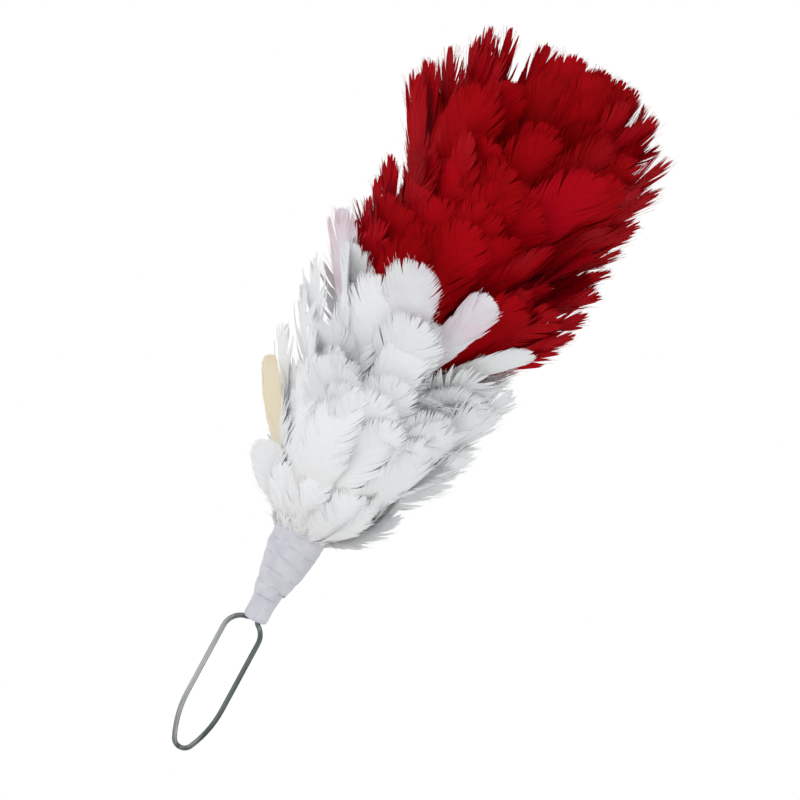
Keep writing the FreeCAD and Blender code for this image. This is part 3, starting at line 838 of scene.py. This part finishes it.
def build_red_rows(red, first_seed):
    """Rows that bulge below the top, draw in along the -X side and narrow into the rounded end."""
    names = rows_of("red")
    last = len(names) - 1
    for k, name in enumerate(names):
        closing = smooth((k - 6) / 4)
        bulge = 1.06 + 0.04 * math.exp(-((k - 7) / 1.2) ** 2) - 0.08 * smooth((k - 8) / 2)
        waist = 9 * MM * math.exp(-((k - 4) / 2.4) ** 4)
        lowered = 3 * MM if k in (1, 3, 5) else 0
        feather_row(name, PER_ROW, HALF_WIDTH * (1 - 0.2 * closing), (RED_FRONT_VANE, RED_VANE), red,
                    seed=first_seed + k, spreads=UPPER_SPREADS, outer=bulge,
                    lower=2 * MM * closing + lowered, accents=red_accents(k, last), pinch=waist)


def build_plume(white, red):
    build_skirt(white)
    build_white_rows(white)
    build_red_rows(red, FIRST_SEED + len(rows_of("white")))
    feather_row("crest", 9, 6.4 * MM, (RED_VANE, RED_VANE), red, seed=60, spreads=(20, 40), outer=1.6,
                lower=3 * MM)


def dress_cad_nodes():
    """Give the CAD nodes that stay in view their materials."""
    finishes = {"wire_loop": wire_material(), "stem_core": quill_material()}
    thread = thread_material()
    for name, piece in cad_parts.items():
        material = thread if "binding" in name else finishes.get(name)
        if material:
            piece.data.materials.clear()
            piece.data.materials.append(material)


# ---- stage, lights and camera --------------------------------------------------------------------

FLOOR_DROP = 0.8
FLOOR_RADIUS = 6.0


def make_floor():
    """A round pale floor, well below the plume."""
    level = cad_box[0][2] - FLOOR_DROP
    turn = np.linspace(0, 2 * math.pi, 96, endpoint=False)
    rim = [(FLOOR_RADIUS * math.cos(a), FLOOR_RADIUS * math.sin(a), level) for a in turn]
    mesh = bpy.data.meshes.new("floor")
    mesh.from_pydata(rim, [], [list(range(len(rim)))])
    m = Nodes("floor_paint")
    colour = m.ramp(m.noise(1.5, 2.0), [(0.3, (0.86, 0.86, 0.86)), (0.7, (0.89, 0.89, 0.89))])
    m.link(colour, m.shader.inputs["Base Color"])
    m.set(Roughness=0.9)
    mesh.materials.append(m.material)
    floor = bpy.data.objects.new("floor", mesh)
    bpy.context.scene.collection.objects.link(floor)


ROLL = math.radians(28.5)
VIEW_WIDTH = 188 * MM
DISTANCE = 1.2
LOOK_ASIDE = 5.4 * MM   # the camera looks this far to +X of the core, and a little over the middle
LOOK_ABOVE = 2.5 * MM
LIGHTS_AIM = 0.06       # the height that the lights point at


def camera_axes():
    """The camera looks along +Y, rolled so that the plume leans to the right of the picture."""
    right = np.array([math.cos(ROLL), 0, math.sin(ROLL)])
    up = np.array([-math.sin(ROLL), 0, math.cos(ROLL)])
    return right, up, np.array([0, -1, 0])


def make_camera():
    from mathutils import Matrix
    low, high = cad_box
    middle = (low[2] + high[2]) / 2
    target = np.array([LOOK_ASIDE, 0, middle + LOOK_ABOVE])
    right, up, back = camera_axes()
    matrix = Matrix.Identity(4)
    for row in range(3):
        matrix[row][0], matrix[row][1], matrix[row][2] = right[row], up[row], back[row]
        matrix[row][3] = target[row] + back[row] * DISTANCE
    data = bpy.data.cameras.new("camera")
    data.sensor_width = 36
    data.lens = 36 * DISTANCE / VIEW_WIDTH
    data.clip_start, data.clip_end = 0.01, 50
    camera = bpy.data.objects.new("camera", data)
    camera.matrix_world = matrix
    bpy.context.scene.collection.objects.link(camera)
    bpy.context.scene.camera = camera


def area_light(name, direction, distance, size, power, colour=(1, 1, 1)):
    from mathutils import Vector
    right, up, back = camera_axes()
    x, y, z = direction
    away = Vector(unit(right * x + up * y + back * z))
    data = bpy.data.lights.new(name, "AREA")
    data.size, data.energy, data.color = size, power, colour
    light = bpy.data.objects.new(name, data)
    light.location = away * distance + Vector((0, 0, LIGHTS_AIM))
    light.rotation_euler = away.to_track_quat("Z", "Y").to_euler()
    bpy.context.scene.collection.objects.link(light)


def make_world():
    """White where the camera looks past the plume. For light and reflections, a studio that is bright
    on the upper left and dim on the lower right."""
    world = bpy.data.worlds.new("studio")
    bpy.context.scene.world = world
    world.use_nodes = True
    tree = world.node_tree
    link, background = tree.links.new, tree.nodes["Background"]
    right, up, back = camera_axes()
    place = tree.nodes.new("ShaderNodeTexCoord")
    towards = tree.nodes.new("ShaderNodeVectorMath")
    towards.operation = "DOT_PRODUCT"
    towards.inputs[1].default_value = unit(-0.6 * right + 0.5 * up + 0.6 * back)
    link(place.outputs["Generated"], towards.inputs[0])
    span = tree.nodes.new("ShaderNodeMapRange")
    span.inputs["From Min"].default_value = -1
    link(towards.outputs["Value"], span.inputs["Value"])
    ramp = tree.nodes.new("ShaderNodeValToRGB")
    ramp.color_ramp.elements[0].color = (0.62, 0.64, 0.62, 1)
    ramp.color_ramp.elements[1].color = (0.88, 0.88, 0.90, 1)
    link(span.outputs["Result"], ramp.inputs["Fac"])
    path = tree.nodes.new("ShaderNodeLightPath")
    mix = tree.nodes.new("ShaderNodeMix")
    mix.data_type = "RGBA"
    mix.inputs[7].default_value = (1, 1, 1, 1)
    link(path.outputs["Is Camera Ray"], mix.inputs[0])
    link(ramp.outputs["Color"], mix.inputs[6])
    link(mix.outputs[2], background.inputs["Color"])


def make_light():
    area_light("key", (-0.6, 0.75, 1.0), 0.9, 0.8, 1.3)
    area_light("fill", (0.9, -0.3, 0.8), 1.0, 0.8, 0.8, (0.95, 1.0, 0.98))
    area_light("back", (0.2, 0.4, -1.0), 1.0, 0.6, 1.0)
    bpy.context.scene.view_settings.view_transform = "Standard"


white_feather, red_feather, cotton = white_feather_material(), red_feather_material(), tape_material()
build_plume(white_feather, red_feather)
wound_tape(cotton)
foot_band(cotton)
dress_cad_nodes()
make_floor()
make_camera()
make_world()
make_light()
